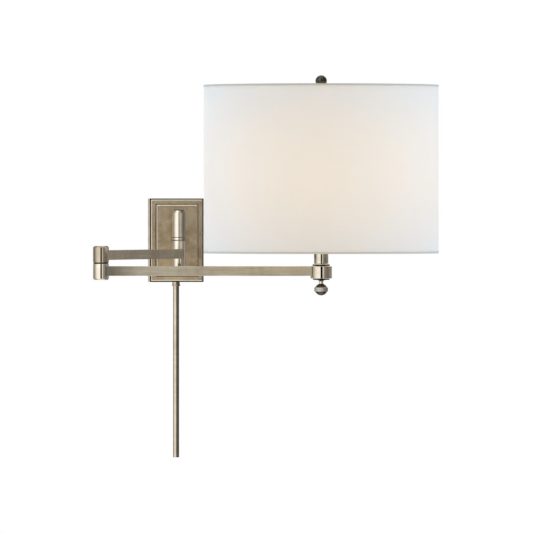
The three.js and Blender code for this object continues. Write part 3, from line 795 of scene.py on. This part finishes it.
# ---- Lamp head -----------------------------------------------------------------------------------------


def head():
    """The hub at the end of arm 2, the flange on it, and the stem up to the socket."""
    hub = plain_round("head_hub_shape", "head_hub", half_width("head_hub"), HEAD_AXIS, 0.5 * MM)
    settle(hub, "arm_2", "nickel", "turned_shaded_soft", "head_hub")
    flange = plain_round("stem_flange_shape", "stem_flange", half_width("stem_flange"), HEAD_AXIS, 0.7 * MM)
    bright_rim = span("stem_flange")[1] - 0.8 * MM
    mark(flange, 1, lambda centre: centre.z < bright_rim)
    settle(flange, "arm_2", "nickel", "turned groove", "stem_flange")
    stem = plain_round("stem", "socket_stem", half_width("socket_stem"), HEAD_AXIS)
    settle(stem, "arm_2", "nickel", "turned_shaded_soft", "socket_stem")


def lower_flange():
    """The dark flange under the hub, with a low boss round the knob's shaft."""
    low, high = span("lower_flange")
    bore = 2.4 * MM
    radius = half_width("lower_flange")
    corners = [
        (bore, low - 0.25 * MM),
        (bore + 2 * MM, low - 0.25 * MM, 0.2 * MM),
        (bore + 3 * MM, low + 0.15 * MM, 0.2 * MM),
        (radius - 0.6 * MM, low + 0.1 * MM, 0.3 * MM),
        (radius, low + 0.7 * MM, 0.3 * MM),
        (radius, high, 0.3 * MM),
        (bore, high),
    ]
    flange = turned("lower_flange_shape", corners, HEAD_AXIS, hollow=True)
    mark(flange, 1, lambda centre: centre.xy.length > 0.75 * radius)
    settle(flange, "arm_2", "nickel", "turned groove", "lower_flange")


KNURLS = 48
KNURL_DEPTH = 0.13 * MM


def knob():
    """Ball knob: a tapered neck, a raised belt of fine upright knurls, and dark domes above and below."""
    low, high = span("knob_ball")
    radius, half_height = 7.55 * MM, 7.1 * MM
    centre = low + half_height
    belt_half = 2.5 * MM
    belt_angle = math.degrees(math.asin(belt_half / half_height))
    belt_radius = half_width("knob_ball") - 0.15 * MM
    belt_edge = belt_radius - 0.2 * MM
    neck, neck_foot = 2.5 * MM, centre + 7 * MM
    neck_angle = 68  # degrees up the ball, where the dome gives way to the neck
    corners = [
        *arc(centre, radius, half_height, -90, -belt_angle, 16),
        (belt_edge, centre - belt_half, 0.1 * MM),
        (belt_radius, centre - belt_half + 0.5 * MM, 0.2 * MM),
        (belt_radius, centre + belt_half - 0.5 * MM, 0.2 * MM),
        (belt_edge, centre + belt_half, 0.1 * MM),
        *arc(centre, radius, half_height, belt_angle, neck_angle, 10),
        (neck, neck_foot, 0.4 * MM),
        (neck, high - 1.6 * MM, 1 * MM),
        (neck + 1.5 * MM, high),
        (0, high),
    ]
    ball = turned("knob", corners, HEAD_AXIS, segments=KNURLS * 4)
    for vertex in ball.data.vertices:
        out = vertex.co.xy.length
        if abs(vertex.co.z - centre) < belt_half - 0.3 * MM and out > radius:
            ridge = math.cos(KNURLS * math.atan2(vertex.co.y, vertex.co.x))
            vertex.co.xy *= (out + KNURL_DEPTH * ridge) / out
    mark(ball, 1, lambda face: abs(face.z - centre) < belt_half and face.xy.length > radius - 0.3 * MM)
    mark(ball, 2, lambda face: face.z > neck_foot - 0.2 * MM)
    settle(ball, "switch_knob", "dark_nickel", "dark belt turned", "knob_ball")


def finial():
    """Ball finial on a short collar, with a fine line turned into its equator."""
    low, high = span("finial")
    radius = half_width("finial")
    centre = high - radius
    collar, neck = 5.8 * MM, 4.3 * MM
    line = 2.2  # degrees of the ball above and below the line's bottom
    corners = [
        (0, low),
        (collar, low, 0.4 * MM),
        (collar, low + 1.8 * MM, 0.5 * MM),
        (neck, low + 2.6 * MM, 0.4 * MM),
        *arc(centre, radius, radius, -50, -line, 12),
        (radius - 0.3 * MM, centre),
        *arc(centre, radius, radius, line, 90, 20),
    ]
    settle(turned("ball_finial", corners, HEAD_AXIS), "finial", "dark_nickel", "dark", "finial")


SOCKET_WALL = 0.9 * MM


def socket_cup():
    """The cup under the bulb socket, its foot rounded."""
    low, high = span("socket_cup")
    bore = 5 * MM
    radius = half_width("socket_cup")
    corners = [
        (bore, low),
        (radius - 5 * MM, low, 1 * MM),
        (radius - 1 * MM, low + 3 * MM, 2 * MM),
        (radius, low + 7 * MM, 1 * MM),
        (radius, high - 1 * MM, 0.4 * MM),
        (radius - SOCKET_WALL, high, 0.3 * MM),
        (bore, high),
    ]
    cup = turned("socket_cup_shape", corners, HEAD_AXIS, hollow=True)
    settle(cup, "arm_2", "nickel", "turned", "socket_cup")


def socket_shell():
    """The shell round the bulb's base, with three rolled grooves and a rounded lip."""
    low, high = span("socket_shell")
    radius = half_width("socket_cup")
    inner = radius - SOCKET_WALL
    corners = [(inner, low), (radius, low, EDGE)]
    for groove in range(3):
        start = low + (4 + 2.4 * groove) * MM
        corners.append((radius, start))
        corners.append((radius - 0.4 * MM, start + 0.6 * MM, 0.3 * MM))
        corners.append((radius, start + 1.2 * MM))
    corners.append((radius, high - 0.2 * MM, 0.3 * MM))
    corners.append((inner, high, 0.2 * MM))
    shell = turned("socket_shell_shape", corners, HEAD_AXIS, hollow=True)
    settle(shell, "arm_2", "nickel", "turned", "socket_shell")


def bulb_glass():
    """A pear-shaped bulb: a round top that narrows smoothly to the neck in the socket."""
    low, high = span("bulb_glass")
    radius = half_width("bulb_glass")
    neck = 13.4 * MM
    centre = high - radius
    joint_angle = -26  # degrees, where the round top meets the curve of the neck
    shoulder_arc = arc(centre, radius, radius, joint_angle, 90, 30)
    neck_points = [
        Vector((neck - 0.4 * MM, low)),
        Vector((neck, low + 8 * MM)),
        Vector((neck + 4.6 * MM, low + 22 * MM)),
        Vector(shoulder_arc[0]),
    ]
    neck_curve = [tuple(point) for point in smooth_path(neck_points, 8)]
    glass = turned("bulb", [(0, low), *neck_curve, *shoulder_arc[1:]], HEAD_AXIS)
    settle(glass, "arm_2", "frosted_glass", "glass", "bulb_glass")
    bulb_light(Vector((*HEAD_AXIS, centre - 16 * MM)), radius + 1.5 * MM)


def bulb_light(centre, reach):
    """The light that the bulb gives: unseen panels round the glass that shine outwards and ride with it."""
    panels = 6
    power = 0.5  # watts, of all the panels together
    for i in range(panels):
        angle = 2 * math.pi * (i + 0.5) / panels
        out = Vector((math.cos(angle), math.sin(angle), 0))
        light = unseen_panel(f"bulb_light_{i}", (1.1 * reach, 5.2 * reach), power / panels, BULB_TINT)
        aim(light, centre + out * reach, -out)
        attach(light, "arm_2")


def bulb_screw():
    """The bulb's base: a contact at the bottom of a cone, and five turns of thread."""
    low, high = span("bulb_base")
    outer = half_width("bulb_base")
    turns, pitch = 5, 3.6 * MM
    start = low + 5 * MM
    corners = [
        (0, low),
        (4 * MM, low, 0.5 * MM),
        (4.5 * MM, low + 1.2 * MM),
        (9 * MM, start - 1 * MM),
    ]
    for turn in range(turns):
        corners.append((outer - 1 * MM, start + turn * pitch, 1 * MM))
        corners.append((outer, start + (turn + 0.5) * pitch, 1 * MM))
    corners.append((outer - 0.8 * MM, start + turns * pitch, 0.5 * MM))
    corners.append((outer - 0.8 * MM, high))
    corners.append((0, high))
    settle(turned("bulb_screw", corners, HEAD_AXIS), "arm_2", "brass", "brass", "bulb_base")


def harp():
    """The harp's wire, from sleeve to sleeve round the bulb."""
    low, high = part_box("harp")
    radius = 1.75 * MM
    crown = high.z - radius
    widest = (high.x - low.x) / 2 - radius
    foot = 25.25 * MM
    side = [  # (distance from the lamp's axis, height)
        (foot, low.z),
        (foot, low.z + 9 * MM),
        (widest - 8 * MM, 52 * MM),
        (widest, 92 * MM),
        (widest - 8 * MM, 132 * MM),
        (widest - 30 * MM, 162 * MM),
    ]
    right = [(x, 0, z) for x, z in side]
    left = [(-x, 0, z) for x, z in reversed(side)]
    piece = wire("harp_wire", [*right, (0, 0, crown), *left], radius)
    piece.location = HEAD_AXIS.to_3d()
    settle(piece, "arm_2", "nickel", "turned", "harp")
    for node in ("harp_sleeve_left", "harp_sleeve_right"):
        harp_sleeve(node)


def harp_sleeve(node):
    """A sleeve that holds a foot of the harp, tapered towards its top."""
    low, high = span(node)
    outer = 3.9 * MM
    corners = [
        (2.6 * MM, low),
        (outer - 0.5 * MM, low, 0.3 * MM),
        (outer, low + 1 * MM, 0.5 * MM),
        (outer, high - 2 * MM, 0.6 * MM),
        (outer - 0.9 * MM, high, 0.4 * MM),
        (2.2 * MM, high),
    ]
    sleeve = turned(node + "_shape", corners, axis_of(node), hollow=True, segments=40)
    settle(sleeve, "arm_2", "nickel", "turned", node)


# ---- Shade ---------------------------------------------------------------------------------------------


def shade():
    """Linen drum with rolled hems and a lapped seam at the back, on wire rings and a three-armed spider."""
    low, high = span("shade_drum")
    drum = drum_sheet(low, high)
    hems = [rolled_hem("top_hem", high - HEM_HALF_HEIGHT), rolled_hem("bottom_hem", low + HEM_HALF_HEIGHT)]
    seam = back_seam(low + 3 * MM, high - 3 * MM)
    settle(drum, "arm_2", "linen", "linen", "shade_drum")
    for piece in hems:
        settle(piece, "arm_2", "linen", "hem")
    settle(seam, "arm_2", "linen", "lap")
    spider()
    for node in ("shade_top_ring", "shade_bottom_ring"):
        ring_wire(node)


def drum_sheet(low, high):
    """The linen itself, one layer all the way round."""
    rows, around = 40, 256
    radius = SHADE_RADIUS - 0.35 * MM
    vertices = []
    for row in range(rows + 1):
        height = low + SHEET_MARGIN + (high - low - 2 * SHEET_MARGIN) * row / rows
        for turn in range(around):
            angle = 2 * math.pi * turn / around
            vertices.append((radius * math.cos(angle), radius * math.sin(angle), height))
    piece = mesh_piece("linen_drum", vertices, quads(rows + 1, around), smooth_angle=80)
    piece.location = HEAD_AXIS.to_3d()
    return piece


def rolled_hem(name, height):
    """The linen's edge rolled over the ring inside it."""
    thick = 1.0 * MM
    corners = oval(SHADE_RADIUS - thick, height, thick, HEM_HALF_HEIGHT, 16)
    return turned(name, corners, HEAD_AXIS, hollow=True, segments=192)


def back_seam(low, high):
    """A lapped strip where the linen's two ends meet, at the back of the drum."""
    half_angle = 5 * MM / SHADE_RADIUS
    columns, rows = 8, 24
    vertices = []
    for row in range(rows + 1):
        height = low + (high - low) * row / rows
        for column in range(columns + 1):
            angle = math.pi / 2 + half_angle * (2 * column / columns - 1)
            lift = 0.25 * MM if 0 < column < columns else 0
            radius = SHADE_RADIUS - 0.3 * MM + lift
            vertices.append((radius * math.cos(angle), radius * math.sin(angle), height))
    faces = quads(rows + 1, columns + 1, columns_close=False)
    piece = mesh_piece("back_seam", vertices, faces, smooth_angle=80)
    piece.location = HEAD_AXIS.to_3d()
    return piece


def ring_wire(node):
    """The wire ring that a rim of the shade is held on."""
    radius = 1.4 * MM
    height = sum(span(node)) / 2
    corners = oval(half_width(node) - radius, height, radius, radius, 12)
    ring = turned(node + "_wire", corners, HEAD_AXIS, hollow=True, segments=160)
    settle(ring, "arm_2", "brass", "brass", node)


def spider():
    """Washer and three spokes that run out level and turn up to the top ring."""
    bore, washer_radius = 3.4 * MM, 12.5 * MM
    bottom = span("harp_stud")[0] + 4.7 * MM
    top = bottom + 1.5 * MM
    washer_corners = [
        (bore, bottom),
        (washer_radius, bottom, 0.3 * MM),
        (washer_radius, top, 0.5 * MM),
        (bore, top, 0.2 * MM),
    ]
    pieces = [turned("spider_washer", washer_corners, Vector((0, 0)), hollow=True)]
    level = (bottom + top) / 2
    rim = sum(span("shade_top_ring")) / 2
    reach = SHADE_RADIUS - 4.4 * MM
    spokes = 3
    for spoke in range(spokes):
        route = [
            (washer_radius - 3 * MM, 0, level),
            (reach - 34 * MM, 0, level),
            (reach - 12 * MM, 0, level + 1 * MM),
            (reach, 0, rim),
        ]
        piece = wire(f"spoke_{spoke}", route, 1.5 * MM)
        piece.rotation_euler.z = math.pi / 2 + spoke * 2 * math.pi / spokes
        pieces.append(piece)
    whole = merged("spider", pieces)
    whole.location = HEAD_AXIS.to_3d()
    settle(whole, "arm_2", "brass", "brass", "shade_spider")


# ---- Camera --------------------------------------------------------------------------------------------

VIEW_AZIMUTH = math.radians(-8.0)
VIEW_ELEVATION = math.radians(0.45)
VIEW_DISTANCE = 10.0
VIEW_WIDTH = 0.634  # of the picture, at the lamp head
VIEW_RIGHT = 0.1123  # from the wall mount's centre to the picture's centre
VIEW_HEIGHT = -0.030  # of the picture's centre


def aim(thing, place, back):
    """Puts a camera or light at a place, facing away from the direction back, its top up."""
    thing.location = place
    thing.rotation_euler = back.to_track_quat("Z", "Y").to_euler()


def camera():
    """Looks at the lamp from the room, slightly from the left and above, with a long lens."""
    level_back = Vector((math.sin(VIEW_AZIMUTH), -math.cos(VIEW_AZIMUTH), 0))
    right = Vector((math.cos(VIEW_AZIMUTH), math.sin(VIEW_AZIMUTH), 0))
    head_depth = level_back.xy.dot(HEAD_AXIS)
    target = right * VIEW_RIGHT + level_back * head_depth + Vector((0, 0, VIEW_HEIGHT))
    back = level_back * math.cos(VIEW_ELEVATION) + Vector((0, 0, math.sin(VIEW_ELEVATION)))
    data = bpy.data.cameras.new("view")
    data.sensor_width = 36
    data.lens = data.sensor_width * VIEW_DISTANCE / VIEW_WIDTH
    eye = link("view", data)
    aim(eye, target + back * VIEW_DISTANCE, back)
    bpy.context.scene.camera = eye


# ---- Light ---------------------------------------------------------------------------------------------

BULB_TINT = (1.0, 0.70, 0.30)
SIDE_TINT = (0.36, 0.64, 1.0)  # cool light on the cloth's flanks, against the bulb's warm glow
TABLE_TINT = (1.0, 0.93, 0.85)

# What polished metal shows: (bearing in degrees, 0 straight into the room and negative to the left;
# brightness; warmth)
SURROUNDINGS = [
    (-180, 0.75, 0.0),
    (-150, 0.70, 0.0),
    (-132, 0.40, 0.10),
    (-102, 0.50, 0.08),
    (-80, 1.20, 0.02),
    (-55, 1.60, 0.02),
    (-15.5, 1.65, 0.02),
    (-15.0, 0.0, 0.0),
    (7.0, 0.0, 0.0),
    (7.5, 1.60, 0.05),
    (15, 1.10, 0.08),
    (30, 0.42, 0.15),
    (70, 0.28, 0.18),
    (110, 0.46, 0.10),
    (145, 0.40, 0.08),
    (165, 0.18, 0.10),
    (180, 0.40, 0.0),
]
CEILING = (1.3, 1.25, 1.15)
SKY = (1.0, 1.0, 1.0)
SKY_STRENGTH = 0.49


def unseen_panel(name, size, power, tint):
    """A rectangular light that neither the camera nor polished metal sees."""
    data = bpy.data.lights.new(name, "AREA")
    data.shape = "RECTANGLE"
    data.size, data.size_y = size
    data.energy = power
    data.color = tint
    light = link(name, data)
    light.visible_camera = False
    light.visible_glossy = False
    return light


def soft_light(name, azimuth, elevation, distance, size, power, tint=SIDE_TINT):
    """A large soft light aimed at the lamp, for its cloth and ceramics."""
    light = unseen_panel(name, size, power, tint)
    around, up = math.radians(azimuth), math.radians(elevation)
    back = Vector((math.sin(around) * math.cos(up), -math.cos(around) * math.cos(up), math.sin(up)))
    middle_of_shade = Vector((*HEAD_AXIS, 0.08))
    aim(light, middle_of_shade + back * distance, back)


def lighting():
    """Two lights beside the lamp, one from below as off a table, and two behind it."""
    soft_light("left_side", -86, 4, 2.2, (1.6, 1.8), 26)
    soft_light("right_side", 62, 4, 2.2, (1.6, 1.8), 26)
    soft_light("table", -8, -50, 0.9, (1.0, 0.8), 1.3, TABLE_TINT)
    soft_light("back_left", -150, 12, 2.4, (1.4, 1.4), 14)
    soft_light("back_right", 134, 12, 2.4, (1.4, 1.4), 14)


def world():
    """White studio to the eye. Metal sees a bright left side, a dark slit in front and a dim right side."""
    studio = bpy.data.worlds.new("studio")
    bpy.context.scene.world = studio
    studio.use_nodes = True
    studio.cycles.sampling_method = "NONE"
    studio.node_tree.nodes.clear()
    sky = Nodes(studio.node_tree)
    x, y, z = sky.node("SeparateXYZ", _0=sky.node("TexCoord").outputs["Generated"]).outputs
    bearing = sky.math("ARCTAN2", x, sky.math("MULTIPLY", y, -1))
    around = sky.node("ValToRGB", _0=sky.between(bearing, -math.pi, math.pi))
    fill_ramp(around.color_ramp.elements, SURROUNDINGS)
    steep = sky.between(sky.math("ABSOLUTE", z), 0.80, 0.90)
    shown = sky.blend(steep, around.outputs[0], (*CEILING, 1))
    ray = sky.node("LightPath").outputs
    reflected = sky.node("Background", Color=shown)
    diffuse = sky.node("Background", Color=(*SKY, 1), Strength=SKY_STRENGTH)
    backdrop = sky.node("Background", Color=(1, 1, 1, 1))
    unseen = sky.node("MixShader", Fac=ray["Is Glossy Ray"], _1=diffuse.outputs[0], _2=reflected.outputs[0])
    seen = sky.node("MixShader", Fac=ray["Is Camera Ray"], _1=unseen.outputs[0], _2=backdrop.outputs[0])
    sky.node("OutputWorld", Surface=seen.outputs[0])


def fill_ramp(elements, stops):
    """Fills a colour ramp that runs all the way round from (bearing, brightness, warmth) stops."""
    while len(elements) < len(stops):
        elements.new(0.5)
    for element, (bearing, grey, warmth) in zip(elements, stops):
        element.position = (bearing + 180) / 360
        element.color = (grey, grey * (1 - warmth * 0.5), grey * (1 - warmth), 1)


# ---- The lamp ------------------------------------------------------------------------------------------


def main():
    camera()
    backplate()
    post()
    cord_tube()
    cord_collar()
    arm_one()
    arm_two()
    head()
    lower_flange()
    knob()
    finial()
    socket_cup()
    socket_shell()
    bulb_glass()
    bulb_screw()
    harp()
    shade()
    dress("turned", "post_boss", "harp_saddle", "cover_screw_left", "cover_screw_right")
    dress("steel", "mounting_plate", "ground_screw", "post_pipe", "pipe_nut", "shoulder_pin")
    dress("steel", "elbow_pin", "socket_pipe", "knob_shaft")
    dress("brass", "tube_nut", "harp_stud")
    dress("porcelain", "terminal_block", "socket_liner")
    dress("plastic", "switch_body")
    world()
    lighting()
    bpy.context.scene.view_settings.view_transform = "Standard"
    bpy.context.scene.cycles.use_denoising = True


main()
